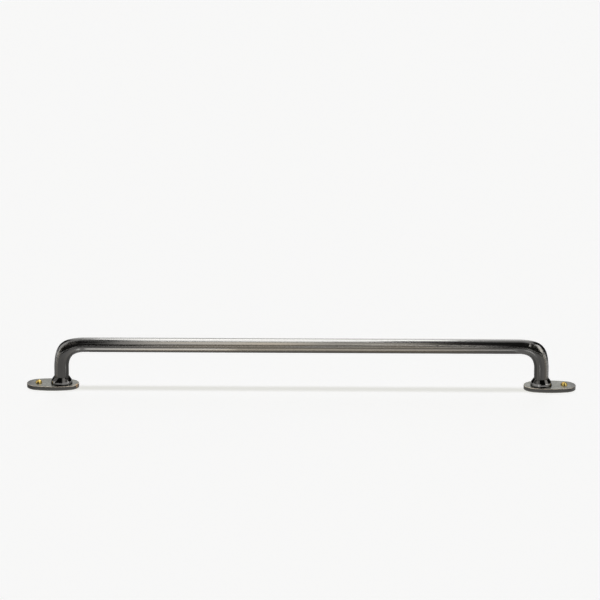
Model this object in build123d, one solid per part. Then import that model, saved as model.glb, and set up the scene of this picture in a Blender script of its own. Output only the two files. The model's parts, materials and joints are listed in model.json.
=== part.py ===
from build123d import *
import os
from math import cos, hypot, radians, sin

# Long cabinet pull: a round bar bent down into two legs, each brazed to an oval foot plate.
# X runs along the bar, +Z points away from the cabinet face, and the origin lies on that
# face, half-way between the two screws. Sizes are in millimetres.

# Bar and legs
screw_spacing = 457.2  # centre to centre, 18 in
leg_inset = 20.0  # from a screw in to the leg beside it
bar_diameter = 12.7  # round rod, 1/2 in
bar_height = 38.1  # the bar's centre line above the cabinet face
bend_radius = 19.0  # of the rod's centre line, where a bend starts and ends
bend_corner = 1.55  # how far that line is drawn out half-way round a bend
bend_swell = 1.9  # extra diameter half-way round a bend
bend_sections = 7  # circles that each bend is lofted through
tenon_shoulder = 2.35  # step from a leg down to the tenon in its plate

# Foot plates
plate_thickness = 3.6
plate_outer_margin = 10.2  # from a screw out to its plate's end
plate_inner_margin = 15.2  # from a leg in to its plate's end
plate_end_radius = 11.2
plate_side_bow = 1.5  # how far the long sides swell past the end arcs, to 1 in across
plate_top_bevel = 0.4

# Collars
collar_height = 6.1
collar_flare = 3.2  # how far a collar's base stands out from the leg
collar_lip = 0.7  # height of the thin flange at its base
collar_ledge = 0.4  # width of that flange outside the flank
collar_shoulder = 2.5  # height where the upright flank turns into the cone
collar_top_land = 0.35  # flat ring at its top

# Wood screws
screw_length = 19.0  # under the head
screw_head_diameter = 6.0
screw_head_height = 2.6
screw_neck_diameter = 3.2  # plain part, inside the plate
screw_core_diameter = 2.3  # root of the thread, from the plate's back down
screw_point_length = 4.5
screw_slot_width = 0.9
screw_slot_depth = 1.3
left_slot_turn = 80.0  # degrees from X
right_slot_turn = 28.0

# Clearances, on the radius
braze_gap = 0.05  # round each tenon, and between a collar and its leg
screw_hole_gap = 0.2

# Worked out from the sizes above
screw_x = screw_spacing / 2
leg_x = screw_x - leg_inset
leg_radius = bar_diameter / 2
tenon_radius = leg_radius - tenon_shoulder
plate_length = plate_outer_margin + leg_inset + plate_inner_margin
plate_centre_x = screw_x + plate_outer_margin - plate_length / 2

ON_BASE = (Align.CENTER, Align.CENTER, Align.MIN)


def right_bend():
    """Quarter bend from the right leg to the bar, fullest at its outer corner half-way round."""
    centre_x = leg_x - bend_radius
    centre_z = bar_height - bend_radius
    circles = []
    for step in range(bend_sections):
        turn = radians(90 * step / (bend_sections - 1))
        fullness = sin(2 * turn) ** 3
        reach = bend_radius + bend_corner * fullness
        across = Plane(
            origin=(centre_x + reach * cos(turn), 0, centre_z + reach * sin(turn)),
            x_dir=(0, 1, 0),
            z_dir=(-sin(turn), 0, cos(turn)),
        )
        radius = leg_radius + bend_swell / 2 * fullness
        circles.append(across * Circle(radius))
    return loft(circles)


def right_leg():
    """Straight leg that stands on the plate, with the tenon that fills the plate's hole."""
    leg_length = bar_height - bend_radius - plate_thickness
    leg = Pos(leg_x, 0, plate_thickness) * Cylinder(leg_radius, leg_length, align=ON_BASE)
    tenon = Pos(leg_x, 0, 0) * Cylinder(tenon_radius, plate_thickness, align=ON_BASE)
    return leg + tenon


def handle_bar():
    """The whole bent rod: straight grip, two bends and two legs in one solid."""
    grip_length = 2 * (leg_x - bend_radius)
    grip = Pos(0, 0, bar_height) * Rot(0, 90, 0) * Cylinder(leg_radius, grip_length)
    right_end = right_bend() + right_leg()
    return grip + right_end + mirror(right_end, about=Plane.YZ)


def oval_face():
    """Four-centre oval: end arcs and bowed sides that run into each other smoothly."""
    end_centre = plate_length / 2 - plate_end_radius
    side_centre = (end_centre**2 - plate_side_bow**2) / (2 * plate_side_bow)
    reach = plate_end_radius / hypot(end_centre, side_centre)
    meet_x = end_centre * (1 + reach)
    meet_y = side_centre * reach
    tip_x = plate_length / 2
    side_y = plate_end_radius + plate_side_bow
    outline = [
        ThreePointArc((meet_x, -meet_y), (tip_x, 0), (meet_x, meet_y)),
        ThreePointArc((meet_x, meet_y), (0, side_y), (-meet_x, meet_y)),
        ThreePointArc((-meet_x, meet_y), (-tip_x, 0), (-meet_x, -meet_y)),
        ThreePointArc((-meet_x, -meet_y), (0, -side_y), (meet_x, -meet_y)),
    ]
    return make_face(outline)


def foot_plate():
    """Right foot plate: oval, with a bevelled top edge, bored for the screw and the leg's tenon."""
    plate = extrude(oval_face(), plate_thickness)
    plate = chamfer(plate.edges().group_by(Axis.Z)[-1], plate_top_bevel)
    plate = Pos(plate_centre_x, 0, 0) * plate
    screw_hole = Cylinder(screw_neck_diameter / 2 + screw_hole_gap, plate_thickness, align=ON_BASE)
    tenon_hole = Cylinder(tenon_radius + braze_gap, plate_thickness, align=ON_BASE)
    return plate - Pos(screw_x, 0, 0) * screw_hole - Pos(leg_x, 0, 0) * tenon_hole


def collar():
    """Right collar: a cone over a short flank and a thin flange, standing on the plate round the leg."""
    bore = leg_radius + braze_gap
    base = leg_radius + collar_flare
    flank = base - collar_ledge
    outline = Polyline(
        (bore, 0),
        (base, 0),
        (base, collar_lip),
        (flank, collar_lip),
        (flank, collar_shoulder),
        (bore + collar_top_land, collar_height),
        (bore, collar_height),
        close=True,
    )
    ring = revolve(Plane.XZ * make_face(outline), Axis.Z)
    return Pos(leg_x, 0, plate_thickness) * ring


def screw(slot_turn):
    """Round-head wood screw with its head's seat at the origin, pointing down."""
    head_radius = screw_head_diameter / 2
    head_sphere = (head_radius**2 + screw_head_height**2) / (2 * screw_head_height)
    neck = screw_neck_diameter / 2
    core = screw_core_diameter / 2
    outline = [
        RadiusArc((head_radius, 0), (0, screw_head_height), -head_sphere),
        Polyline(
            (0, screw_head_height),
            (0, -screw_length),
            (core, screw_point_length - screw_length),
            (core, -plate_thickness),
            (neck, -plate_thickness),
            (neck, 0),
            (head_radius, 0),
        ),
    ]
    body = revolve(Plane.XZ * make_face(outline), Axis.Z)
    slot = Box(2 * screw_head_diameter, screw_slot_width, 2 * screw_slot_depth)
    return body - Pos(0, 0, screw_head_height) * Rot(0, 0, slot_turn) * slot


def mounting_screws():
    """The two screws, each seated on its plate."""
    left = Pos(-screw_x, 0, plate_thickness) * screw(left_slot_turn)
    right = Pos(screw_x, 0, plate_thickness) * screw(right_slot_turn)
    return Compound(children=[left, right])


def on_left(piece):
    return mirror(piece, about=Plane.YZ)


nodes = {
    "handle_bar": handle_bar(),
    "left_foot_plate": on_left(foot_plate()),
    "right_foot_plate": foot_plate(),
    "left_collar": on_left(collar()),
    "right_collar": collar(),
    "mounting_screws": mounting_screws(),
}

os.makedirs("parts", exist_ok=True)
for name, node in nodes.items():
    export_step(node, f"parts/{name}.step")
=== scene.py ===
import json
import math
from typing import NamedTuple

import bmesh
import bpy
from bpy.props import FloatProperty, FloatVectorProperty, PointerProperty
from mathutils import Matrix, Vector


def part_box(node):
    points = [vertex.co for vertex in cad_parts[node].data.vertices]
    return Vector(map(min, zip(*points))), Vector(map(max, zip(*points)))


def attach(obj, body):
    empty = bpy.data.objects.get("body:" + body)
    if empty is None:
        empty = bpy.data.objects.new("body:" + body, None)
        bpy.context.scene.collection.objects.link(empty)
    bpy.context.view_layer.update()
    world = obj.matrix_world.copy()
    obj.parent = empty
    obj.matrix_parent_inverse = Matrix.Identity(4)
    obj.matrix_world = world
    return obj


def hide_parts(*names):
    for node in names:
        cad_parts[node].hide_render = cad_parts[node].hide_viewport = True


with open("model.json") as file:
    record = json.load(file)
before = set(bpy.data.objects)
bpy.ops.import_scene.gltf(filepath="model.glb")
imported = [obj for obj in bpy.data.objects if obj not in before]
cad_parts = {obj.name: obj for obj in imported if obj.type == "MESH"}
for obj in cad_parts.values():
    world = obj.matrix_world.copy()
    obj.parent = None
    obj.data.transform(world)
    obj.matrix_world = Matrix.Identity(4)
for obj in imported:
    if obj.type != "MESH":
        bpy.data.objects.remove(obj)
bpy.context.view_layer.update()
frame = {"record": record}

bl_info = {
    "name": "Long cabinet pull",
    "version": (1, 0, 0),
    "blender": (4, 5, 0),
    "location": "View3D > Sidebar > Pull",
    "description": "Builds a blackened brass bar pull on two screwed foot plates",
    "category": "Add Mesh",
}

MM = 0.001

# How finely the shapes are divided
ROD_SEGMENTS = 72
BEND_STEPS = 28
PLATE_ARC_STEPS = 40
PLATE_EDGE_STEPS = 6
PLATE_BACK_STEPS = 2
HOLE_SEGMENTS = 48
COLLAR_SEGMENTS = 96
COLLAR_SHOULDER_STEPS = 6
COLLAR_EDGE_STEPS = 2
HEAD_SEGMENTS = 64
HEAD_DOME_STEPS = 14
THREAD_STEPS = 28
FLOOR_SEGMENTS = 64
CREASE_ANGLE = math.radians(35)

# Distances in metres under which two places count as one
SAME = 1e-7
CLOSE = 1e-6
ARCS_CLOSE = 1e-5

# Shares of the thread's pitch at which its flank starts, its crest starts and its crest ends
FLANK_START = 0.45
CREST_START = 0.68
CREST_END = 0.76

# Shares of a plate's top rounding, from its top down, between which the finish is worn
WEAR_TOP = 0.001
WEAR_FOOT = 0.8

# Where the rod's colour changes, in metres along the rod from its middle, as if it were straight: the grip's
# painted sheen, the bends' painted highlight strip and rim shade, the legs' painted shade and the filed marks
GRIP_SHEEN_FADE = (0.2, 0.1)
BEND_FADE = (0.19, 0.2)
LEG_SHADE_FADE = (0.2, 0.215)
FILED_FADE = (0.222, 0.208)

# Where it changes round the rod, for the painted highlight strip, the painted cooler sheen outside and the
# painted rim shade: 1 is the side that lies outside a bend, 0 is a flank
STRIP_MIDDLE = 0.66
STRIP_FADE = (0.28, 0.12)
OUTER_SHEEN_FADE = (0.55, 0.8)
RIM_SHADE_FADE = (0.9, 0.97)

# Where the plates darken towards their outer ends as painted shade, in metres from the pull's middle
PLATE_END_SHADE_FADE = (0.229, 0.238)

# Factors on a finish's own colour: painted shade on the bends' rim, the grain's dark and light, and painted
# shade at the plates' outer ends
BEND_RIM_SHADE = 0.7
GRAIN_SHADES = (0.7, 1.3)
PLATE_END_SHADE = 0.5

# How the room's light changes with direction: from one share of X, Y or Z to another, and the light at each
BEHIND = (0.1, 0.5, 0.0, 1.0)
BELOW_TOP = (0.6, 0.95, 1.0, 0.0)
ABOVE_FLOOR = (0.1, 0.5, 0.5, 1.0)
LEFT_TO_RIGHT = (-0.06, 0.06, 0.93, 1.13)
NEAR_MIDDLE = (0.18, 0.3, 1.0, 0.0)

# Cards lie over each other on the floor, and flags stand on it
CARD_HEIGHT = 0.2 * MM
CARD_STEP = 0.1 * MM
FLAG_TALL = 22 * MM
FLAG_MIDDLE = 11.5 * MM

SENSOR_WIDTH = 36.0

bar_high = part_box("handle_bar")[1]
plate_low, plate_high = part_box("right_foot_plate")
collar_low, collar_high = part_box("right_collar")
screws_low, screws_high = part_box("mounting_screws")
leg_line = (collar_low.x + collar_high.x) / 2
rod_radius = bar_high.x - leg_line
slot_colour = {m["slot"]: m["base_color"] for m in frame["record"]["materials"]}


class Lamp(NamedTuple):
    """Soft panel that faces the pull; lengths in metres, turns in degrees, side 0 is the camera's."""

    name: str
    side: float
    up: float
    away: float
    wide: float
    tall: float
    level: float
    x: float = 0.0
    lean: float = 0.0


class Card(NamedTuple):
    """Glowing card on the floor, given by its sides in metres and its turn in degrees."""

    name: str
    left: float
    right: float
    near: float
    far: float
    level: float
    turned: float = 0.0


class Flag(NamedTuple):
    """Glowing card that stands upright beside a leg, in metres."""

    name: str
    x: float
    y: float
    deep: float
    level: float


LAMPS = (
    Lamp("rear_panel", side=180, up=62, away=0.45, wide=0.36, tall=0.2, level=2.95, x=-0.025),
    Lamp("top_panel", side=180, up=87, away=0.45, wide=0.256, tall=0.2, level=2.3, x=-0.044),
    Lamp("rear_left_panel", side=180, up=72, away=0.46, wide=0.2, tall=0.3, level=0.45, x=-0.31),
    Lamp("rear_right_panel", side=180, up=72, away=0.46, wide=0.2, tall=0.3, level=0.45, x=0.26),
    Lamp("front_panel", side=0, up=55, away=0.3, wide=0.155, tall=0.21, level=0.55, x=-0.068),
    Lamp("wide_front_panel", side=0, up=55, away=0.33, wide=0.3, tall=0.23, level=0.71, x=-0.031),
    Lamp("line_panel", side=0, up=35, away=0.3, wide=0.34, tall=0.02, level=0.8, x=-0.01),
    Lamp("streak_panel", side=0, up=36, away=0.31, wide=0.15, tall=0.014, level=2.0, x=0.12, lean=-30),
    Lamp("low_front_panel", side=0, up=5, away=0.3, wide=0.33, tall=0.24, level=0.38, x=0.015),
    Lamp("left_panel", side=-90, up=5, away=0.9, wide=0.22, tall=0.22, level=0.7),
    Lamp("right_panel", side=90, up=5, away=0.9, wide=0.22, tall=0.22, level=0.7),
    Lamp("left_soft_panel", side=-97, up=32, away=0.95, wide=0.58, tall=0.8, level=0.7),
    Lamp("right_soft_panel", side=80, up=32, away=0.95, wide=0.4, tall=0.9, level=1.7, lean=-40),
)

CARDS = (
    Card("front_card", left=-0.6, right=0.6, near=-1.07, far=-0.059, level=0.35, turned=-2.4),
    Card("left_dark_card", left=-0.6, right=-0.178, near=-1.07, far=-0.15, level=0.05),
    Card("right_dark_card", left=0.17, right=0.6, near=-1.07, far=-0.15, level=0.05),
    # Dim card under the bar, seen only in the metal: a painted shadow standing in for the bar's shadow on the
    # floor beneath it.
    Card("under_bar_shade_card", left=-0.188, right=0.188, near=-0.023, far=0.08, level=0.25, turned=-2.4),
    Card("left_card", left=-0.42, right=-0.188, near=-0.07, far=0.15, level=0.38),
    Card("right_card", left=0.188, right=0.42, near=-0.07, far=0.15, level=0.38),
    Card("light_card", left=-0.19, right=-0.06, near=-0.05, far=-0.02, level=1.6),
    Card("far_right_card", left=0.26, right=2.0, near=0.08, far=2.5, level=0.1),
    Card("side_card", left=0.235, right=0.34, near=-0.01, far=0.08, level=0.75),
)

FLAGS = (
    Flag("left_flag", x=-0.192, y=-0.054, deep=0.088, level=0.38),
    Flag("right_flag", x=0.188, y=-0.053, deep=0.09, level=0.38),
    Flag("leg_flag", x=0.1885, y=-0.045, deep=0.014, level=1.4),
)


# Settings


def number(name, description, default):
    return FloatProperty(name=name, description=description, default=default)


def length(name, description, default):
    metres = {"unit": "LENGTH", "subtype": "DISTANCE", "precision": 5}
    return FloatProperty(name=name, description=description, default=default, min=0, **metres)


def turn(name, description, degrees):
    return FloatProperty(name=name, description=description, default=math.radians(degrees), subtype="ANGLE")


def share(name, description, default):
    return FloatProperty(name=name, description=description, default=default, min=0, max=1, subtype="FACTOR")


def colour(name, description, default):
    return FloatVectorProperty(
        name=name, description=description, default=default, size=3, min=0, max=1, subtype="COLOR"
    )


def point(name, description, millimetres):
    default = [MM * c for c in millimetres]
    return FloatVectorProperty(
        name=name, description=description, default=default, size=3, unit="LENGTH", precision=5
    )


class PullSizes(bpy.types.PropertyGroup):
    """Sizes of the pull, in metres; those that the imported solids' boxes show are read from them."""

    leg_x: length("Leg", "From the middle of the pull to a leg's centre line", leg_line)
    bar_radius: length("Bar radius", "Radius of the round rod", rod_radius)
    bar_height: length("Bar height", "Centre line of the bar above the floor", bar_high.z - rod_radius)
    bend_radius: length("Bend radius", "Radius of the rod's centre line where a bend begins", 19.0 * MM)
    bend_corner: length("Bend corner", "How far that line is drawn out half-way round a bend", 1.55 * MM)
    bend_swell: length("Bend swell", "Extra radius of the rod half-way round a bend", 0.95 * MM)
    tenon_radius: length("Tenon radius", "Radius of the tenon under a leg", 4.0 * MM)
    braze_gap: length("Braze gap", "Gap round a tenon, and between a collar and its leg", 0.05 * MM)

    plate_thickness: length("Plate thickness", "Thickness of a foot plate", plate_high.z - plate_low.z)
    plate_length: length("Plate length", "Length of a foot plate", plate_high.x - plate_low.x)
    plate_width: length("Plate width", "Width of a foot plate", plate_high.y - plate_low.y)
    plate_x: length("Plate place", "Middle of the right foot plate", (plate_high.x + plate_low.x) / 2)
    plate_end_radius: length("Plate end radius", "Radius of a foot plate's two ends", 11.2 * MM)
    plate_round: length("Plate edge", "Rounding of a foot plate's top edge", 0.4 * MM)
    plate_back_round: length("Plate back edge", "Rounding of a foot plate's lower edge", 0.25 * MM)
    plate_border: length("Plate border", "Width of the even border round a plate's flat faces", 0.3 * MM)

    collar_radius: length("Collar radius", "Radius of a collar's flange", (collar_high.x - collar_low.x) / 2)
    collar_height: length("Collar height", "Height of a collar above its plate", collar_high.z - collar_low.z)
    collar_lip: length("Collar lip", "Height of the flange at a collar's base", 0.7 * MM)
    collar_ledge: length("Collar ledge", "Width of that flange outside the flank", 0.4 * MM)
    collar_shoulder: length("Collar shoulder", "Height where the flank turns into the cone", 2.5 * MM)
    collar_shoulder_round: length("Collar shoulder rounding", "Rounding between flank and cone", 0.8 * MM)
    collar_land: length("Collar land", "Width of the flat ring at a collar's top", 0.35 * MM)
    collar_edge: length("Collar edge", "Rounding of a collar's other turned edges", 0.12 * MM)

    screw_x: length("Screw", "From the middle of the pull to a screw", screws_high.x - screws_high.y)
    screw_hole_gap: length("Screw hole gap", "Gap round a screw in its plate", 0.2 * MM)
    head_radius: length("Head radius", "Radius of a screw's head", screws_high.y)
    head_height: length("Head height", "Height of a screw's head", 2.6 * MM)
    neck_radius: length("Neck radius", "Plain part of a screw, inside the plate", 1.6 * MM)
    core_radius: length("Core radius", "Root of a screw's thread", 1.15 * MM)
    crest_radius: length("Crest radius", "Crest of a screw's thread", 1.6 * MM)
    thread_pitch: length("Thread pitch", "From one turn of the thread to the next", 1.8 * MM)
    thread_start: length("Thread start", "How far under its plate a screw's thread starts", 0.4 * MM)
    point_length: length("Point length", "Tapered end of a screw", 4.5 * MM)
    point_cut: length("Point cut", "How much of a screw's sharp tip is blunted", 0.25 * MM)
    screw_reach: length("Screw reach", "How far a screw stands out below its plate", -screws_low.z)
    slot_width: length("Slot width", "Width of the driver slot", 0.9 * MM)
    slot_depth: length("Slot depth", "Depth of the driver slot", 1.3 * MM)
    left_slot: turn("Left slot", "Direction of the left screw's slot, from the bar's length", 80)
    right_slot: turn("Right slot", "Direction of the right screw's slot, from the bar's length", 28)


class PullFinishes(bpy.types.PropertyGroup):
    """Colours, gloss and wear of the pull's finishes, with the painted sheen, highlights and shade laid on
    them.
    """

    rod_dark: colour("Rod", "Blackened rod", (0.24, 0.236, 0.228))
    # Painted shade: the legs are coloured darker than the rod to stand in for the darker light they show.
    leg_painted_shade: colour("Leg", "Blackened leg, under the bends", (0.17, 0.166, 0.158))
    # Lighter metal of the rubbed fine lines, and of the painted sheen on the grip and the painted highlight
    # strip on the bends and legs.
    rod_rubbed_and_sheen: colour("Rod, rubbed", "Rod where the finish is rubbed lighter", (0.37, 0.332, 0.275))
    # Cooler tone that varies at random along the rod, and is painted on its top and its bends' outside to
    # give the highlight there a neutral tone.
    rod_cool_tone_and_outer_sheen: colour("Rod, rubbed cool", "Cooler tone of the rubbed rod, on top", (0.33, 0.325, 0.313))
    rod_roughness: share("Rod roughness", "Roughness of the rod", 0.14)
    grip_roughness: share("Grip roughness", "Extra roughness where the grip is rubbed", 0.08)
    strip_roughness: share("Strip roughness", "Extra roughness of the light strip on the bends", 0.12)
    brush_depth: length("Brush depth", "Depth of the rod's brushed lines", 0.02 * MM)
    # A nick on the right bend, painted bright as a glint and given extra roughness.
    glint_nick_colour: colour("Nick", "Metal in a nick on the right bend", (0.7, 0.685, 0.65))
    glint_nick_place: point("Nick place", "Where the nick lies on the rod before bending", (196.7, -5.6, 3.6))
    glint_nick_radius: length("Nick radius", "How far the nick reaches", 1.0 * MM)
    glint_nick_tail: point("Nick tail", "Where the nick runs out, higher on the rod", (196.4, -4.5, 5.0))
    tail_radius: length("Tail radius", "How far the nick's tail reaches", 0.7 * MM)
    glint_nick_roughness: share("Nick roughness", "Extra roughness of the nick", 0.8)

    plate_dark: colour("Plate", "Blackened foot plate", (0.19, 0.187, 0.176))
    # Painted sheen: the plates' upper face is coloured lighter than their walls, for the brighter light the
    # top shows; its grain is the plate's own.
    plate_grain_and_top_sheen: colour("Plate face", "Upper face of a foot plate, rubbed lighter", (0.211, 0.21, 0.183))
    face_depth: length("Face depth", "How far under its top a plate is still dark", 0.2 * MM)
    face_light: length("Face light", "How far under its top a plate is all light", 0.05 * MM)
    plate_worn: colour("Plate, worn", "Plate edge where the finish is worn thin", (0.9, 0.8, 0.66))
    plate_bare: colour("Plate, bare", "Brass where the plate's finish is worn through", (0.72, 0.47, 0.26))
    bare_place: point("Bare place", "Where a plate is worn through to the brass", (-194.6, -5.4, 2.8))
    bare_radius: length("Bare radius", "How far that bare place reaches", 2.8 * MM)
    plate_roughness: share("Plate roughness", "Roughness of the plates", 0.34)
    worn_roughness: share("Worn roughness", "Extra roughness of the plates' worn edges", 0.2)
    grain_depth: length("Grain depth", "Depth of the plates' grain", 0.05 * MM)

    collar_black: colour("Collar", "Blackened collar", slot_colour["black_collar"])
    # Painted sheen: the collars' flank is coloured bright to stand in for the light ring it reflects.
    collar_flank_sheen: colour("Collar flank", "A collar's flank, rubbed bright", (0.5, 0.49, 0.475))
    flank_foot_fade: length("Flank foot fade", "How far the rubbing fades in above the flange", 0.3 * MM)
    flank_top_fade: length("Flank top fade", "How far it fades out above the shoulder", 0.6 * MM)
    collar_roughness: share("Collar roughness", "Roughness of the collars", 0.11)
    tool_mark_depth: length("Tool mark depth", "Depth of the collars' turning marks", 0.02 * MM)

    screw_brass: colour("Screw", "Bright brass of the screws", (0.92, 0.68, 0.2))
    screw_tarnish: colour("Screw, tarnished", "Brass in the screws' dull patches", (0.35, 0.2, 0.06))
    screw_roughness: share("Screw roughness", "Roughness of the screws", 0.38)
    scratch_depth: length("Scratch depth", "Depth of the screws' fine scratches", 0.01 * MM)


class PullStage(bpy.types.PropertyGroup):
    """Floor, room, shadow and camera."""

    floor_colour: colour("Floor", "Pale floor and backdrop", (0.93, 0.93, 0.925))
    floor_radius: length("Floor radius", "How far the floor reaches", 60.0)
    floor_drop: length("Floor drop", "How far the floor lies under the plates' backs", 0.1 * MM)
    wall_level: number("Wall level", "Strength of the room's light behind the pull", 1.25)
    room_level: number("Room level", "Strength of the room's light on all sides", 0.02)
    shadow_tint: colour("Shadow tint", "Warm tone of the pull's shadow", (1.0, 0.998, 0.945))
    shadow_level: share("Shadow level", "How much of the floor's colour is left in the shadow", 0.768)
    floor_take: number("Floor take", "How strongly the floor takes the shadow lamp's light", 2.04)
    lamp_energy: number("Shadow lamp", "Strength of the lamp that draws the shadow", 1.3)
    lamp_spread: turn("Shadow lamp spread", "How wide that lamp is, seen from the floor", 12)
    lamp_tilt: turn("Shadow lamp tilt", "Lean of that lamp; below zero it stands behind the bar", -5)
    camera_distance: length("Camera distance", "From the camera to the pull", 3.478)
    camera_base: length("Camera base", "Height from which the camera's place is measured", 20.0 * MM)
    camera_elevation: turn("Camera elevation", "How far the camera stands above the pull", 17.29)
    camera_pitch: turn("Camera pitch", "How far the camera looks down", 16.35)
    camera_roll: turn("Camera roll", "How far the camera leans", 0.26)
    camera_side: FloatProperty(
        name="Camera offset", description="Camera's place along the bar", default=-1.54 * MM, unit="LENGTH"
    )
    camera_lens: number("Lens", "Focal length in millimetres", 240.0)


# Small tools for shaping


def ring_of_edges(ring):
    """Edges that join the vertices of a ring."""
    members = set(ring)
    edges = (edge for vert in ring for edge in vert.link_edges if edge.other_vert(vert) in members)
    return list(dict.fromkeys(edges))


def verts_in(geometry):
    return [item for item in geometry if isinstance(item, bmesh.types.BMVert)]


def with_corners(faces):
    """Faces together with their vertices and edges."""
    return list(dict.fromkeys(item for face in faces for item in (*face.verts, *face.edges, face)))


def carry_on(bm, ring):
    """Extrudes a ring of vertices in place and returns the new ring."""
    return verts_in(bmesh.ops.extrude_edge_only(bm, edges=ring_of_edges(ring))["geom"])


def resize_ring(bm, ring, centre, factor):
    bmesh.ops.scale(bm, vec=(factor, factor, factor), space=Matrix.Translation(-Vector(centre)), verts=ring)


def draw_to(bm, pen, place):
    """Draws a line from the vertex pen to a place and returns its new end."""
    end = verts_in(bmesh.ops.extrude_vert_indiv(bm, verts=[pen])["verts"])[0]
    end.co = place
    return end


def draw_arc(bm, pen, centre, axis, angle, steps):
    """Draws an arc from the vertex pen and returns its new end."""
    arc = bmesh.ops.spin(
        bm, geom=[pen], cent=centre, axis=axis, dvec=(0, 0, 0), angle=angle, steps=steps, use_duplicate=False
    )
    return verts_in(arc["geom_last"])[0]


def lathe(bm, profile, centre, segments):
    """Turns a drawn profile once round an upright axis and leaves the other vertices alone."""
    others = set(bm.verts) - set(profile)
    bmesh.ops.spin(
        bm,
        geom=profile + [edge for edge in bm.edges if edge.verts[0] not in others],
        cent=centre,
        axis=(0, 0, 1),
        dvec=(0, 0, 0),
        angle=2 * math.pi,
        steps=segments,
        use_merge=True,
    )
    bmesh.ops.remove_doubles(bm, verts=[vert for vert in bm.verts if vert not in others], dist=SAME)


def round_edges(bm, edges, offset, segments):
    bmesh.ops.bevel(
        bm,
        geom=edges,
        offset=offset,
        offset_type="OFFSET",
        segments=segments,
        profile=0.5,
        affect="EDGES",
        clamp_overlap=True,
        material=-1,
    )


def sharp_edges(bm):
    return [edge for edge in bm.edges if edge.is_manifold and edge.calc_face_angle() > CREASE_ANGLE]


def is_level(edge, z, within=SAME):
    return all(abs(vert.co.z - z) < within for vert in edge.verts)


def open_edges(bm, z):
    """Edges at one height that have a face on one side only."""
    return [edge for edge in bm.edges if edge.is_boundary and is_level(edge, z, CLOSE)]


def on_left(bm):
    """Turns a right-hand piece into the left-hand one."""
    bmesh.ops.scale(bm, vec=(-1, 1, 1), verts=bm.verts)
    bmesh.ops.recalc_face_normals(bm, faces=bm.faces)
    return bm


def make_piece(bm, name, finish, node):
    """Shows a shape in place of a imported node."""
    bmesh.ops.recalc_face_normals(bm, faces=bm.faces)
    for face in bm.faces:
        face.smooth = True
    for edge in sharp_edges(bm):
        edge.smooth = False
    mesh = bpy.data.meshes.new(name)
    bm.to_mesh(mesh)
    bm.free()
    mesh.materials.append(finish)
    piece = bpy.data.objects.new(name, mesh)
    bpy.context.scene.collection.objects.link(piece)
    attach(piece, "root")
    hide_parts(node)


# Shapes


def bend_fullness(angle):
    """Share of a bend's extra reach and girth at an angle round it."""
    return math.sin(2 * angle) ** 3


def straightened(place, sizes):
    """Where a point of the bent rod lies on the rod before it was bent."""
    bend_x = sizes.leg_x - sizes.bend_radius
    bend_z = sizes.bar_height - sizes.bend_radius
    side = -1 if place.x < 0 else 1
    x = abs(place.x)
    if x <= bend_x:
        return Vector((place.x, place.y, place.z - sizes.bar_height))
    if place.z >= bend_z:
        angle = math.atan2(x - bend_x, place.z - bend_z)
        reach = math.hypot(x - bend_x, place.z - bend_z)
        outside = reach - sizes.bend_radius - sizes.bend_corner * bend_fullness(angle)
        return Vector((side * (bend_x + sizes.bend_radius * angle), place.y, outside))
    down = bend_x + sizes.bend_radius * math.pi / 2 + bend_z - place.z
    return Vector((side * down, place.y, x - sizes.leg_x))


def bent_bar(sizes):
    """Half of the rod, from its middle down to a tenon, and its mirror image."""
    bm = bmesh.new()
    bend_x = sizes.leg_x - sizes.bend_radius
    bend_z = sizes.bar_height - sizes.bend_radius
    middle = Matrix.Translation((0, 0, sizes.bar_height)) @ Matrix.Rotation(math.pi / 2, 4, "Y")
    circle = bmesh.ops.create_circle(
        bm, cap_ends=False, segments=ROD_SEGMENTS, radius=sizes.bar_radius, matrix=middle
    )
    ring = carry_on(bm, circle["verts"])
    bmesh.ops.translate(bm, vec=(bend_x, 0, 0), verts=ring)
    radius = sizes.bar_radius
    reach = sizes.bend_radius
    for step in range(1, BEND_STEPS + 1):
        spun = bmesh.ops.spin(
            bm,
            geom=ring + ring_of_edges(ring),
            cent=(bend_x, 0, bend_z),
            axis=(0, 1, 0),
            dvec=(0, 0, 0),
            angle=math.pi / 2 / BEND_STEPS,
            steps=1,
            use_duplicate=False,
        )
        ring = verts_in(spun["geom_last"])
        angle = math.pi / 2 * step / BEND_STEPS
        outward = Vector((math.sin(angle), 0, math.cos(angle)))
        farther = sizes.bend_radius + sizes.bend_corner * bend_fullness(angle)
        bmesh.ops.translate(bm, vec=outward * (farther - reach), verts=ring)
        fuller = sizes.bar_radius + sizes.bend_swell * bend_fullness(angle)
        resize_ring(bm, ring, Vector((bend_x, 0, bend_z)) + outward * farther, fuller / radius)
        radius = fuller
        reach = farther
    ring = carry_on(bm, ring)
    bmesh.ops.translate(bm, vec=(0, 0, sizes.plate_thickness - bend_z), verts=ring)
    ring = carry_on(bm, ring)
    resize_ring(bm, ring, (sizes.leg_x, 0, sizes.plate_thickness), sizes.tenon_radius / sizes.bar_radius)
    ring = carry_on(bm, ring)
    bmesh.ops.translate(bm, vec=(0, 0, -sizes.plate_thickness), verts=ring)
    bmesh.ops.contextual_create(bm, geom=ring_of_edges(ring))
    bmesh.ops.mirror(bm, geom=bm.verts[:] + bm.edges[:] + bm.faces[:], merge_dist=CLOSE, axis="X")
    unbent = bm.verts.layers.float_vector.new("unbent")
    for vert in bm.verts:
        vert[unbent] = straightened(vert.co, sizes)
    return bm


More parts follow.
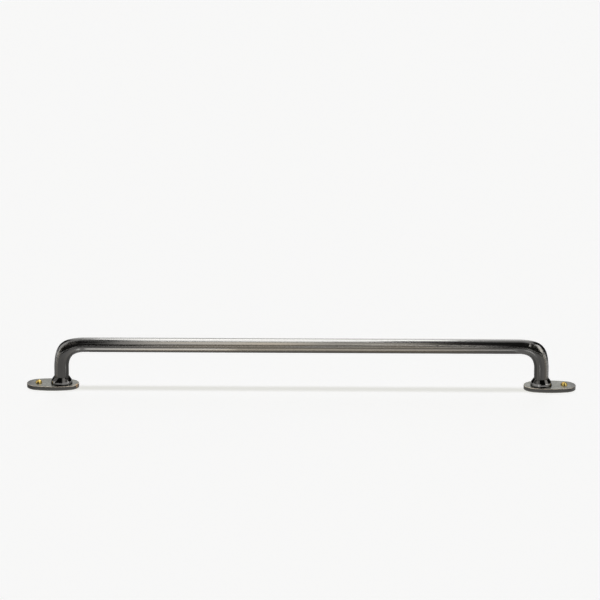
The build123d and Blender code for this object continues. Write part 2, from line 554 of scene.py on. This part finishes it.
def oval_outline(bm, sizes):
    """Four-centre oval on the floor, round the right plate's middle."""
    radius = sizes.plate_end_radius
    end = sizes.plate_length / 2 - radius
    bow = sizes.plate_width / 2 - radius
    far = (end**2 - bow**2) / (2 * bow)
    lean = math.atan2(end, far)
    x = sizes.plate_x
    start = (x + end + radius * math.sin(lean), -radius * math.cos(lean), 0)
    pen = bmesh.ops.create_vert(bm, co=start)["vert"][0]
    arcs = (
        ((x + end, 0, 0), math.pi - 2 * lean),
        ((x, -far, 0), 2 * lean),
        ((x - end, 0, 0), math.pi - 2 * lean),
        ((x, far, 0), 2 * lean),
    )
    for centre, angle in arcs:
        pen = draw_arc(bm, pen, centre, (0, 0, 1), angle, PLATE_ARC_STEPS)
    bmesh.ops.remove_doubles(bm, verts=bm.verts, dist=ARCS_CLOSE)


def plate_outline(bm, z):
    """Edges at one height between a plate's flat face and its wall."""
    return [edge for edge in bm.edges if is_level(edge, z) and edge.calc_face_angle() > CREASE_ANGLE]


def foot_plate(sizes):
    """Right foot plate with its rounded edges and its two holes."""
    bm = bmesh.new()
    top = sizes.plate_thickness
    oval_outline(bm, sizes)
    bmesh.ops.contextual_create(bm, geom=bm.edges[:])
    risen = bmesh.ops.extrude_face_region(bm, geom=bm.faces[:])["geom"]
    bmesh.ops.translate(bm, vec=(0, 0, top), verts=verts_in(risen))
    bmesh.ops.recalc_face_normals(bm, faces=bm.faces)
    round_edges(bm, plate_outline(bm, top), sizes.plate_round, PLATE_EDGE_STEPS)
    round_edges(bm, plate_outline(bm, 0), sizes.plate_back_round, PLATE_BACK_STEPS)
    holes = (
        (sizes.screw_x, sizes.neck_radius + sizes.screw_hole_gap),
        (sizes.leg_x, sizes.tenon_radius + sizes.braze_gap),
    )
    rims = {}
    for z in (0, top):
        level = [face for face in bm.faces if abs(face.calc_center_median().z - z) < CLOSE]
        flat = max(level, key=lambda face: face.calc_area())
        bmesh.ops.inset_region(bm, faces=[flat], thickness=sizes.plate_border, use_even_offset=True)
        border = flat.edges[:]
        bmesh.ops.delete(bm, geom=[flat], context="FACES_ONLY")
        for x, radius in holes:
            middle = Matrix.Translation((x, 0, z))
            circle = bmesh.ops.create_circle(
                bm, cap_ends=False, segments=HOLE_SEGMENTS, radius=radius, matrix=middle
            )
            rim = ring_of_edges(circle["verts"])
            rims.setdefault(x, []).extend(rim)
            border += rim
        bmesh.ops.triangle_fill(bm, use_beauty=True, use_dissolve=False, edges=border)
    for edges in rims.values():
        bmesh.ops.bridge_loops(bm, edges=edges)
    wear = bm.verts.layers.float.new("edge_wear")
    for vert in bm.verts:
        below = (top - vert.co.z) / sizes.plate_round
        vert[wear] = 1.0 if WEAR_TOP < below < WEAR_FOOT else 0.0
    return bm


def collar(sizes):
    """Right collar, turned from its profile."""
    bm = bmesh.new()
    bore = sizes.bar_radius + sizes.braze_gap
    flank = sizes.collar_radius - sizes.collar_ledge
    foot = sizes.plate_thickness
    profile = [
        Vector((sizes.leg_x + radius, 0, foot + height))
        for radius, height in (
            (bore, 0),
            (sizes.collar_radius, 0),
            (sizes.collar_radius, sizes.collar_lip),
            (flank, sizes.collar_lip),
            (flank, sizes.collar_shoulder),
            (bore + sizes.collar_land, sizes.collar_height),
            (bore, sizes.collar_height),
        )
    ]
    first = pen = bmesh.ops.create_vert(bm, co=profile[0])["vert"][0]
    for place in profile[1:]:
        pen = draw_to(bm, pen, place)
    bmesh.ops.contextual_create(bm, geom=[pen, first])
    lathe(bm, bm.verts[:], (sizes.leg_x, 0, 0), COLLAR_SEGMENTS)
    bmesh.ops.recalc_face_normals(bm, faces=bm.faces)
    shoulder = [edge for edge in bm.edges if is_level(edge, foot + sizes.collar_shoulder)]
    round_edges(bm, shoulder, sizes.collar_shoulder_round, COLLAR_SHOULDER_STEPS)
    round_edges(bm, sharp_edges(bm), sizes.collar_edge, COLLAR_EDGE_STEPS)
    return bm


def screw_thread(bm, sizes):
    """Threaded shank and point, on the Z axis under the plate's back."""
    pitch = sizes.thread_pitch
    turns = math.ceil(sizes.screw_reach / pitch) + 2
    pen = bmesh.ops.create_vert(bm, co=(sizes.core_radius, 0, pitch))["vert"][0]
    profile = [pen]
    for radius, fall in (
        (sizes.core_radius, FLANK_START),
        (sizes.crest_radius, CREST_START),
        (sizes.crest_radius, CREST_END),
        (sizes.core_radius, 1.0),
    ):
        pen = draw_to(bm, pen, (radius, 0, pitch - fall * pitch))
        profile.append(pen)
    bmesh.ops.spin(
        bm,
        geom=profile + [edge for vert in profile for edge in vert.link_edges if edge.verts[0] == vert],
        cent=(0, 0, 0),
        axis=(0, 0, 1),
        dvec=(0, 0, -pitch / THREAD_STEPS),
        angle=2 * math.pi * turns,
        steps=THREAD_STEPS * turns,
        use_duplicate=False,
    )
    bmesh.ops.remove_doubles(bm, verts=bm.verts, dist=CLOSE)
    blunt_tip = sizes.point_cut - sizes.screw_reach
    for z, up in ((-sizes.thread_start, 1), (blunt_tip, -1)):
        bmesh.ops.bisect_plane(
            bm,
            geom=bm.verts[:] + bm.edges[:] + bm.faces[:],
            plane_co=(0, 0, z),
            plane_no=(0, 0, up),
            clear_outer=True,
        )
    for vert in bm.verts:
        above_tip = vert.co.z + sizes.screw_reach
        taper = min(1.0, above_tip / sizes.point_length)
        vert.co.x *= taper
        vert.co.y *= taper
    bmesh.ops.contextual_create(bm, geom=open_edges(bm, blunt_tip))


def wood_screw(sizes, slot_turn):
    """Round-head screw on the Z axis, standing in the plate, with its slot cut."""
    bm = bmesh.new()
    screw_thread(bm, sizes)
    shank = set(bm.verts)
    seat = sizes.plate_thickness
    ball = (sizes.head_radius**2 + sizes.head_height**2) / (2 * sizes.head_height)
    middle = seat + sizes.head_height - ball
    rim_angle = math.atan2(sizes.head_radius, seat - middle)
    pen = bmesh.ops.create_vert(bm, co=(sizes.neck_radius, 0, 0))["vert"][0]
    pen = draw_to(bm, pen, (sizes.neck_radius, 0, seat))
    pen = draw_to(bm, pen, (sizes.head_radius, 0, seat))
    draw_arc(bm, pen, (0, 0, middle), (0, 1, 0), -rim_angle, HEAD_DOME_STEPS)
    lathe(bm, [vert for vert in bm.verts if vert not in shank], (0, 0, 0), HEAD_SEGMENTS)
    bmesh.ops.bridge_loops(bm, edges=open_edges(bm, -sizes.thread_start) + open_edges(bm, 0))
    bmesh.ops.recalc_face_normals(bm, faces=bm.faces)
    cut_slot(bm, sizes, slot_turn)
    return bm


def cut_slot(bm, sizes, slot_turn):
    """Cuts the driver slot across a screw's head."""
    across = Vector((-math.sin(slot_turn), math.cos(slot_turn), 0))
    half = sizes.slot_width / 2
    seat = sizes.plate_thickness
    floor = seat + sizes.head_height - sizes.slot_depth
    for side in (-half, half):
        head = [face for face in bm.faces if face.calc_center_median().z > seat + CLOSE]
        bmesh.ops.bisect_plane(bm, geom=with_corners(head), plane_co=across * side, plane_no=across)

    def in_slot(face, bottom):
        centre = face.calc_center_median()
        return abs(centre.dot(across)) < half and centre.z > bottom

    strip = [face for face in bm.faces if in_slot(face, seat + CLOSE)]
    bmesh.ops.bisect_plane(bm, geom=with_corners(strip), plane_co=(0, 0, floor), plane_no=(0, 0, 1))
    bmesh.ops.delete(bm, geom=[face for face in bm.faces if in_slot(face, floor)], context="FACES")
    border = [edge for edge in bm.edges if edge.is_boundary]
    floor_edges = [edge for edge in border if is_level(edge, floor)]
    walls = []
    for side in (-half, half):
        wall = [edge for edge in border if all(abs(vert.co.dot(across) - side) < SAME for vert in edge.verts)]
        corners = dict.fromkeys(vert for edge in wall for vert in edge.verts)
        low = [vert for vert in corners if abs(vert.co.z - floor) < SAME]
        floor_edge = bmesh.ops.contextual_create(bm, geom=low)["edges"][0]
        floor_edges.append(floor_edge)
        walls.append(wall + [floor_edge])
    for loop in (*walls, floor_edges):
        bmesh.ops.contextual_create(bm, geom=loop)


# Small tools for finishes


def new_finish(name):
    """A metal whose look is wired by node."""
    finish = bpy.data.materials.new(name)
    finish.use_nodes = True
    tree = finish.node_tree
    shader = tree.nodes["Principled BSDF"]
    shader.inputs["Metallic"].default_value = 1.0
    return finish, tree, shader


def wire(tree, kind, inputs, **settings):
    """Adds a node; an input is a value, or a socket to link."""
    node = tree.nodes.new("ShaderNode" + kind)
    for name, value in settings.items():
        setattr(node, name, value)
    for key, value in inputs.items():
        if isinstance(value, bpy.types.NodeSocket):
            tree.links.new(value, node.inputs[key])
        else:
            node.inputs[key].default_value = value
    return node


def axes(tree, vector):
    """The X, Y and Z of a vector."""
    return wire(tree, "SeparateXYZ", {"Vector": vector}).outputs


def noise(tree, vector, scale, detail=4.0, roughness=0.55):
    """Noise with its own scale along each axis, in waves per metre."""
    placed = wire(tree, "Mapping", {"Vector": vector, "Scale": scale}).outputs["Vector"]
    inputs = {"Vector": placed, "Scale": 1.0, "Detail": detail, "Roughness": roughness}
    return wire(tree, "TexNoise", inputs).outputs["Fac"]


def remap(tree, value, low, high, to_low=0.0, to_high=1.0):
    """Softly turns the range from low to high into the range from to_low to to_high."""
    inputs = {"Value": value, "From Min": low, "From Max": high, "To Min": to_low, "To Max": to_high}
    return wire(tree, "MapRange", inputs, interpolation_type="SMOOTHSTEP").outputs["Result"]


def spread(tree, value, middle, amount):
    """Turns a noise into values round a middle."""
    return remap(tree, value, 0.3, 0.7, middle - amount, middle + amount)


def maths(tree, operation, first, *others):
    """Joins values by one operation, from the left."""
    for other in others:
        first = wire(tree, "Math", {0: first, 1: other}, operation=operation).outputs["Value"]
    return first


def unsigned(tree, value):
    return maths(tree, "ABSOLUTE", value, 0.0)


def vector_maths(tree, operation, inputs, output="Vector"):
    return wire(tree, "VectorMath", inputs, operation=operation).outputs[output]


def scaled(tint, factor):
    return [factor * c for c in tint]


def blend_colours(tree, amount, first, second):
    """Goes from the first colour to the second; a colour is three values or a socket."""
    inputs = {0: amount, 6: first, 7: second}
    for key in (6, 7):
        if not isinstance(inputs[key], bpy.types.NodeSocket):
            inputs[key] = (*inputs[key], 1.0)
    return wire(tree, "Mix", inputs, data_type="RGBA").outputs[2]


def bump(tree, height, distance, strength):
    inputs = {"Height": height, "Distance": distance, "Strength": strength}
    return wire(tree, "Bump", inputs).outputs["Normal"]


def connect(tree, shader, **sockets):
    for name, socket in sockets.items():
        tree.links.new(socket, shader.inputs[name.replace("_", " ")])


def spot(tree, vector, centre, radius):
    """One inside a soft-edged ball, and none outside it."""
    apart = vector_maths(tree, "DISTANCE", {0: vector, 1: centre}, "Value")
    return remap(tree, apart, radius, 0.5 * radius)


# Finishes


def blackened_rod(finishes):
    """Rod brushed along its length, with a painted sheen along the grip, a painted highlight strip and
    painted rim shade on the outside of its bends and legs, and painted shade on its legs.
    """
    finish, tree, shader = new_finish("blackened_rod")
    unbent = wire(tree, "Attribute", {}, attribute_name="unbent").outputs["Vector"]
    along = unsigned(tree, axes(tree, unbent)["X"])
    girth = vector_maths(tree, "MULTIPLY", {0: unbent, 1: (0.0, 1.0, 1.0)})
    outside = axes(tree, vector_maths(tree, "NORMALIZE", {0: girth}))["Z"]
    streaks = noise(tree, unbent, (2.0, 420.0, 420.0), detail=2.0)
    hairlines = noise(tree, unbent, (12.0, 2600.0, 2600.0), detail=2.0)
    tint = noise(tree, unbent, (9.0, 260.0, 260.0), detail=1.0)
    marks = noise(tree, unbent, (900.0, 200.0, 200.0), detail=1.0)

    # Lighter parts: a painted sheen along the grip, a painted highlight strip on the bends and legs with
    # filed marks on the bends, and rubbed fine lines everywhere
    past_bar = remap(tree, along, *BEND_FADE)
    # The strip is a painted highlight along the outer side of the bends and legs, broken up by the filed
    # marks on the bends.
    strip = remap(tree, unsigned(tree, maths(tree, "SUBTRACT", outside, STRIP_MIDDLE)), *STRIP_FADE)
    filed = maths(tree, "MULTIPLY", remap(tree, along, *FILED_FADE), remap(tree, marks, 0.4, 0.6))
    strip = maths(tree, "MULTIPLY", strip, past_bar, maths(tree, "ADD", filed, 0.5))
    lines = remap(tree, streaks, 0.5, 0.62, to_high=0.2)
    grip = remap(tree, along, *GRIP_SHEEN_FADE)
    # Painted sheen: the rod is coloured lighter along the grip to stand in for the bright reflections it
    # shows there.
    grip_sheen = maths(tree, "MULTIPLY", remap(tree, streaks, 0.3, 0.55, to_low=0.55), grip)
    lightened = maths(tree, "MAXIMUM", grip_sheen, strip, lines)

    # Colours: dark rod, legs darker as painted shade, the lighter rubbed and painted-sheen metal, a painted
    # shade rim outside the bends and a nick painted bright as a glint
    # The legs, from half-way round the bends, take their darker colour as painted shade.
    black = blend_colours(tree, remap(tree, along, *LEG_SHADE_FADE), finishes.rod_dark, finishes.leg_painted_shade)
    # Cooler tone: partly at random, and partly painted on the rod's top and outer side for the neutral
    # highlight there.
    cool = maths(tree, "MAXIMUM", remap(tree, tint, 0.4, 0.6, to_high=0.5), remap(tree, outside, *OUTER_SHEEN_FADE))
    bright = blend_colours(tree, cool, finishes.rod_rubbed_and_sheen, finishes.rod_cool_tone_and_outer_sheen)
    base = blend_colours(tree, lightened, black, bright)
    # Painted shade: a darker rim along the outermost side of the bends and legs.
    rim = maths(tree, "MULTIPLY", remap(tree, outside, *RIM_SHADE_FADE), past_bar)
    base = blend_colours(tree, rim, base, scaled(finishes.leg_painted_shade, BEND_RIM_SHADE))
    # A nick painted bright as a glint: a light colour and extra roughness in two small spots.
    painted_glint_nick = maths(
        tree,
        "MAXIMUM",
        spot(tree, unbent, finishes.glint_nick_place, finishes.glint_nick_radius),
        spot(tree, unbent, finishes.glint_nick_tail, finishes.tail_radius),
    )
    base = blend_colours(tree, painted_glint_nick, base, finishes.glint_nick_colour)

    rough = maths(
        tree,
        "ADD",
        spread(tree, hairlines, finishes.rod_roughness, 0.05),
        maths(tree, "MULTIPLY", grip_sheen, finishes.grip_roughness),
        maths(tree, "MULTIPLY", strip, finishes.strip_roughness),
        maths(tree, "MULTIPLY", painted_glint_nick, finishes.glint_nick_roughness),
    )
    brushed = bump(tree, maths(tree, "ADD", hairlines, streaks), finishes.brush_depth, strength=0.4)
    connect(tree, shader, Base_Color=base, Roughness=rough, Normal=brushed)
    return finish


def blackened_plate(finishes, sizes):
    """Plate with a grainy face painted lighter than its walls as sheen, worn along its top edge and to bare
    brass at its inner end, and painted darker towards its outer end as shade.
    """
    finish, tree, shader = new_finish("blackened_plate")
    place = wire(tree, "TexCoord", {}).outputs["Object"]
    along, _, height = axes(tree, place)
    edge = wire(tree, "Attribute", {}, attribute_name="edge_wear").outputs["Fac"]
    grain = noise(tree, place, (900.0, 900.0, 900.0))
    clouds = noise(tree, place, (160.0, 220.0, 220.0))
    worn = maths(tree, "MULTIPLY", edge, remap(tree, clouds, 0.3, 0.55, to_low=0.3))
    dark, light = (scaled(finishes.plate_grain_and_top_sheen, shade) for shade in GRAIN_SHADES)
    upper = blend_colours(tree, remap(tree, grain, 0.35, 0.65), dark, light)
    top = sizes.plate_thickness
    # The upper face takes the lighter colour as painted sheen.
    on_face = remap(tree, height, top - finishes.face_depth, top - finishes.face_light)
    base = blend_colours(tree, on_face, finishes.plate_dark, upper)
    # Painted shade: the plate is coloured darker towards its outer end.
    painted_end_shade = remap(tree, unsigned(tree, along), *PLATE_END_SHADE_FADE)
    base = blend_colours(tree, painted_end_shade, base, scaled(finishes.plate_dark, PLATE_END_SHADE))
    base = blend_colours(tree, worn, base, finishes.plate_worn)
    bare = spot(tree, place, finishes.bare_place, finishes.bare_radius)
    bare = maths(tree, "MULTIPLY", bare, remap(tree, grain, 0.35, 0.55))
    base = blend_colours(tree, bare, base, finishes.plate_bare)
    rough = spread(tree, clouds, finishes.plate_roughness, 0.07)
    rough = maths(tree, "ADD", rough, maths(tree, "MULTIPLY", worn, finishes.worn_roughness))
    grainy = bump(tree, grain, finishes.grain_depth, strength=0.15)
    connect(tree, shader, Base_Color=base, Roughness=rough, Normal=grainy)
    return finish


def black_collar(finishes, sizes):
    """Glossy blackened turning, with a painted sheen on its flank."""
    finish, tree, shader = new_finish("black_collar")
    place = wire(tree, "TexCoord", {}).outputs["Object"]
    height = axes(tree, place)["Z"]
    clouds = noise(tree, place, (300.0, 300.0, 300.0))
    tool_marks = noise(tree, place, (60.0, 60.0, 5000.0), detail=1.0)
    lip = sizes.plate_thickness + sizes.collar_lip
    shoulder = sizes.plate_thickness + sizes.collar_shoulder
    over_lip = remap(tree, height, lip, lip + finishes.flank_foot_fade)
    under_cone = remap(tree, height, shoulder + finishes.flank_top_fade, shoulder)
    patchy = remap(tree, clouds, 0.35, 0.6, to_low=0.7)
    # The flank takes the bright colour as painted sheen, broken up in patches.
    lightened = maths(tree, "MULTIPLY", over_lip, under_cone, patchy)
    base = blend_colours(tree, lightened, finishes.collar_black, finishes.collar_flank_sheen)
    rough = spread(tree, clouds, finishes.collar_roughness, 0.05)
    turned = bump(tree, tool_marks, finishes.tool_mark_depth, strength=0.3)
    connect(tree, shader, Base_Color=base, Roughness=rough, Normal=turned)
    return finish


def bright_brass(finishes):
    """Polished brass with dull patches and fine scratches."""
    finish, tree, shader = new_finish("bright_brass")
    place = wire(tree, "TexCoord", {}).outputs["Object"]
    clouds = noise(tree, place, (500.0, 500.0, 500.0))
    scratches = noise(tree, place, (900.0, 4000.0, 900.0), detail=2.0)
    tarnish = remap(tree, clouds, 0.5, 0.8, to_high=0.6)
    base = blend_colours(tree, tarnish, finishes.screw_brass, finishes.screw_tarnish)
    rough = spread(tree, scratches, finishes.screw_roughness, 0.06)
    scratched = bump(tree, scratches, finishes.scratch_depth, strength=0.4)
    connect(tree, shader, Base_Color=base, Roughness=rough, Normal=scratched)
    return finish


def pale_floor(stage):
    """Floor that shows white to the camera and in the metal, and keeps the pull's shadow."""
    finish = bpy.data.materials.new("pale_floor")
    finish.use_nodes = True
    tree = finish.node_tree
    tree.nodes.clear()
    pale = stage.floor_colour
    shade = [stage.shadow_level * p * t for p, t in zip(pale, stage.shadow_tint)]
    lit = [stage.floor_take * (p - s) for p, s in zip(pale, shade)]
    rays = wire(tree, "LightPath", {}).outputs
    seen = maths(tree, "MAXIMUM", rays["Is Camera Ray"], rays["Is Glossy Ray"], rays["Is Transmission Ray"])
    glow = wire(tree, "Emission", {"Color": (*shade, 1.0), "Strength": seen}).outputs[0]
    matt = wire(tree, "BsdfDiffuse", {"Color": (*lit, 1.0)}).outputs[0]
    both = wire(tree, "AddShader", {0: matt, 1: glow}).outputs[0]
    wire(tree, "OutputMaterial", {"Surface": both})
    return finish


def card_glow(name, level):
    """Even glow of a card."""
    finish = bpy.data.materials.new(name)
    finish.use_nodes = True
    tree = finish.node_tree
    tree.nodes.clear()
    glow = wire(tree, "Emission", {"Strength": level}).outputs[0]
    wire(tree, "OutputMaterial", {"Surface": glow})
    return finish


# Operators


class PULL_OT_bent_bar(bpy.types.Operator):
    """Build the bent bar with its legs"""

    bl_idname = "pull.bent_bar"
    bl_label = "Bent bar"
    bl_options = {"REGISTER", "UNDO"}

    def execute(self, context):
        sizes = context.scene.pull_sizes
        finish = blackened_rod(context.scene.pull_finishes)
        make_piece(bent_bar(sizes), "bent_bar", finish, "handle_bar")
        return {"FINISHED"}


class PULL_OT_foot_plates(bpy.types.Operator):
    """Build the two oval foot plates"""

    bl_idname = "pull.foot_plates"
    bl_label = "Foot plates"
    bl_options = {"REGISTER", "UNDO"}

    def execute(self, context):
        sizes = context.scene.pull_sizes
        finish = blackened_plate(context.scene.pull_finishes, sizes)
        make_piece(foot_plate(sizes), "right_plate", finish, "right_foot_plate")
        make_piece(on_left(foot_plate(sizes)), "left_plate", finish, "left_foot_plate")
        return {"FINISHED"}


class PULL_OT_collars(bpy.types.Operator):
    """Build the collars round the legs' feet"""

    bl_idname = "pull.collars"
    bl_label = "Collars"
    bl_options = {"REGISTER", "UNDO"}

    def execute(self, context):
        sizes = context.scene.pull_sizes
        finish = black_collar(context.scene.pull_finishes, sizes)
        make_piece(collar(sizes), "right_turned_collar", finish, "right_collar")
        make_piece(on_left(collar(sizes)), "left_turned_collar", finish, "left_collar")
        return {"FINISHED"}


class PULL_OT_wood_screws(bpy.types.Operator):
    """Build the two round-head wood screws"""

    bl_idname = "pull.wood_screws"
    bl_label = "Wood screws"
    bl_options = {"REGISTER", "UNDO"}

    def execute(self, context):
        sizes = context.scene.pull_sizes
        finish = bright_brass(context.scene.pull_finishes)
        for name, x, slot_turn in (
            ("left_screw", -sizes.screw_x, sizes.left_slot),
            ("right_screw", sizes.screw_x, sizes.right_slot),
        ):
            bm = wood_screw(sizes, slot_turn)
            bmesh.ops.translate(bm, vec=(x, 0, 0), verts=bm.verts)
            make_piece(bm, name, finish, "mounting_screws")
        return {"FINISHED"}


class PULL_OT_stage(bpy.types.Operator):
    """Set the floor, the cards, the lamps and the camera"""

    bl_idname = "pull.stage"
    bl_label = "Stage"
    bl_options = {"REGISTER", "UNDO"}

    def execute(self, context):
        stage = context.scene.pull_stage
        self.lay_floor(context, stage)
        self.lay_cards(context)
        self.light_room(context, stage)
        self.hang_lamps(context)
        self.hang_shadow_lamp(context, stage)
        self.place_camera(context, stage)
        context.scene.view_settings.view_transform = "Standard"
        return {"FINISHED"}

    def lay(self, context, bm, name, finish):
        """Adds a shape to the stage, apart from the pull."""
        mesh = bpy.data.meshes.new(name)
        bm.to_mesh(mesh)
        bm.free()
        mesh.materials.append(finish)
        piece = bpy.data.objects.new(name, mesh)
        context.scene.collection.objects.link(piece)
        return piece

    def lay_floor(self, context, stage):
        bm = bmesh.new()
        level = Matrix.Translation((0, 0, -stage.floor_drop))
        bmesh.ops.create_circle(
            bm, cap_ends=True, segments=FLOOR_SEGMENTS, radius=stage.floor_radius, matrix=level
        )
        self.lay(context, bm, "floor", pale_floor(stage))

    def lay_cards(self, context):
        """Cards on the floor and flags beside the legs, which show only in the metal."""
        for order, card in enumerate(CARDS):
            size = Matrix.Diagonal((card.right - card.left, card.far - card.near, 1.0, 1.0))
            height = CARD_HEIGHT + CARD_STEP * order
            middle = ((card.left + card.right) / 2, (card.near + card.far) / 2, height)
            turned = Matrix.Rotation(math.radians(card.turned), 4, "Z")
            self.hang_card(context, card, turned @ Matrix.Translation(middle) @ size)
        for flag in FLAGS:
            upright = Matrix.Rotation(math.pi / 2, 4, "Y")
            size = Matrix.Diagonal((FLAG_TALL, flag.deep, 1.0, 1.0))
            self.hang_card(context, flag, Matrix.Translation((flag.x, flag.y, FLAG_MIDDLE)) @ upright @ size)

    def hang_card(self, context, card, placed):
        """Unit square, sized and placed by a matrix."""
        bm = bmesh.new()
        bmesh.ops.create_grid(bm, x_segments=1, y_segments=1, size=0.5, matrix=placed)
        sheet = self.lay(context, bm, card.name, card_glow(card.name, card.level))
        sheet.visible_camera = False
        sheet.visible_diffuse = False
        sheet.visible_shadow = False

    def light_room(self, context, stage):
        """Room that is bright behind the pull and dark on the camera's side."""
        world = bpy.data.worlds.new("room")
        world.use_nodes = True
        tree = world.node_tree
        tree.nodes.clear()
        x, y, z = axes(tree, wire(tree, "TexCoord", {}).outputs["Generated"])
        bright = maths(
            tree,
            "MULTIPLY",
            remap(tree, y, *BEHIND),
            remap(tree, z, *BELOW_TOP),
            remap(tree, z, *ABOVE_FLOOR),
            remap(tree, x, *LEFT_TO_RIGHT),
            remap(tree, unsigned(tree, x), *NEAR_MIDDLE),
            stage.wall_level,
        )
        strength = maths(tree, "ADD", bright, stage.room_level)
        room = wire(tree, "Background", {"Color": (1.0, 1.0, 1.0, 1.0), "Strength": strength}).outputs[0]
        pale = wire(tree, "Background", {"Color": (*stage.floor_colour, 1.0), "Strength": 1.0}).outputs[0]
        seen = wire(tree, "LightPath", {}).outputs["Is Camera Ray"]
        both = wire(tree, "MixShader", {0: seen, 1: room, 2: pale}).outputs[0]
        wire(tree, "OutputWorld", {"Surface": both})
        context.scene.world = world

    def hang_lamps(self, context):
        """Soft panels that face the pull and show only in the metal."""
        for lamp in LAMPS:
            light = bpy.data.lights.new(lamp.name, "AREA")
            light.shape = "RECTANGLE"
            light.size = lamp.wide
            light.size_y = lamp.tall
            light.energy = lamp.level * math.pi * lamp.wide * lamp.tall
            side = math.radians(lamp.side)
            up = math.radians(lamp.up)
            away = Vector((math.sin(side) * math.cos(up), -math.cos(side) * math.cos(up), math.sin(up)))
            stand = Matrix.Translation(away * lamp.away + Vector((lamp.x, 0, 0)))
            facing = away.to_track_quat("Z", "Y").to_matrix().to_4x4()
            lean = Matrix.Rotation(math.radians(lamp.lean), 4, "Z")
            holder = bpy.data.objects.new(lamp.name, light)
            holder.matrix_world = stand @ facing @ lean
            holder.visible_camera = False
            holder.visible_diffuse = False
            context.scene.collection.objects.link(holder)

    def hang_shadow_lamp(self, context, stage):
        """High lamp that draws the pull's shadow on the floor and doesn't show in the metal."""
        light = bpy.data.lights.new("shadow_lamp", "SUN")
        light.energy = stage.lamp_energy
        light.angle = stage.lamp_spread
        holder = bpy.data.objects.new("shadow_lamp", light)
        holder.rotation_euler = (stage.lamp_tilt, 0, 0)
        holder.visible_glossy = False
        context.scene.collection.objects.link(holder)

    def place_camera(self, context, stage):
        camera = bpy.data.cameras.new("camera")
        camera.lens = stage.camera_lens
        camera.sensor_width = SENSOR_WIDTH
        holder = bpy.data.objects.new("camera", camera)
        back = stage.camera_distance * math.cos(stage.camera_elevation)
        up = stage.camera_base + stage.camera_distance * math.sin(stage.camera_elevation)
        stand = Matrix.Translation((stage.camera_side, -back, up))
        aim = Matrix.Rotation(math.pi / 2 - stage.camera_pitch, 4, "X")
        lean = Matrix.Rotation(stage.camera_roll, 4, "Z")
        holder.matrix_world = stand @ aim @ lean
        context.scene.collection.objects.link(holder)
        context.scene.camera = holder


class PULL_PT_panel(bpy.types.Panel):
    """Lists the pull's pieces and settings"""

    bl_idname = "PULL_PT_panel"
    bl_label = "Cabinet pull"
    bl_space_type = "VIEW_3D"
    bl_region_type = "UI"
    bl_category = "Pull"

    def draw(self, context):
        for operator in OPERATORS:
            self.layout.operator(operator.bl_idname)
        for settings in (context.scene.pull_sizes, context.scene.pull_finishes, context.scene.pull_stage):
            box = self.layout.box()
            for name in settings.__annotations__:
                box.prop(settings, name)


OPERATORS = (PULL_OT_bent_bar, PULL_OT_foot_plates, PULL_OT_collars, PULL_OT_wood_screws, PULL_OT_stage)
SETTINGS = {"pull_sizes": PullSizes, "pull_finishes": PullFinishes, "pull_stage": PullStage}


def register():
    for cls in (*SETTINGS.values(), *OPERATORS, PULL_PT_panel):
        bpy.utils.register_class(cls)
    for name, group in SETTINGS.items():
        setattr(bpy.types.Scene, name, PointerProperty(type=group))


def unregister():
    for name in SETTINGS:
        delattr(bpy.types.Scene, name)
    for cls in (PULL_PT_panel, *reversed(OPERATORS), *reversed(SETTINGS.values())):
        bpy.utils.unregister_class(cls)


def main():
    register()
    bpy.ops.pull.bent_bar()
    bpy.ops.pull.foot_plates()
    bpy.ops.pull.collars()
    bpy.ops.pull.wood_screws()
    bpy.ops.pull.stage()


if __name__ == "__main__":
    main()
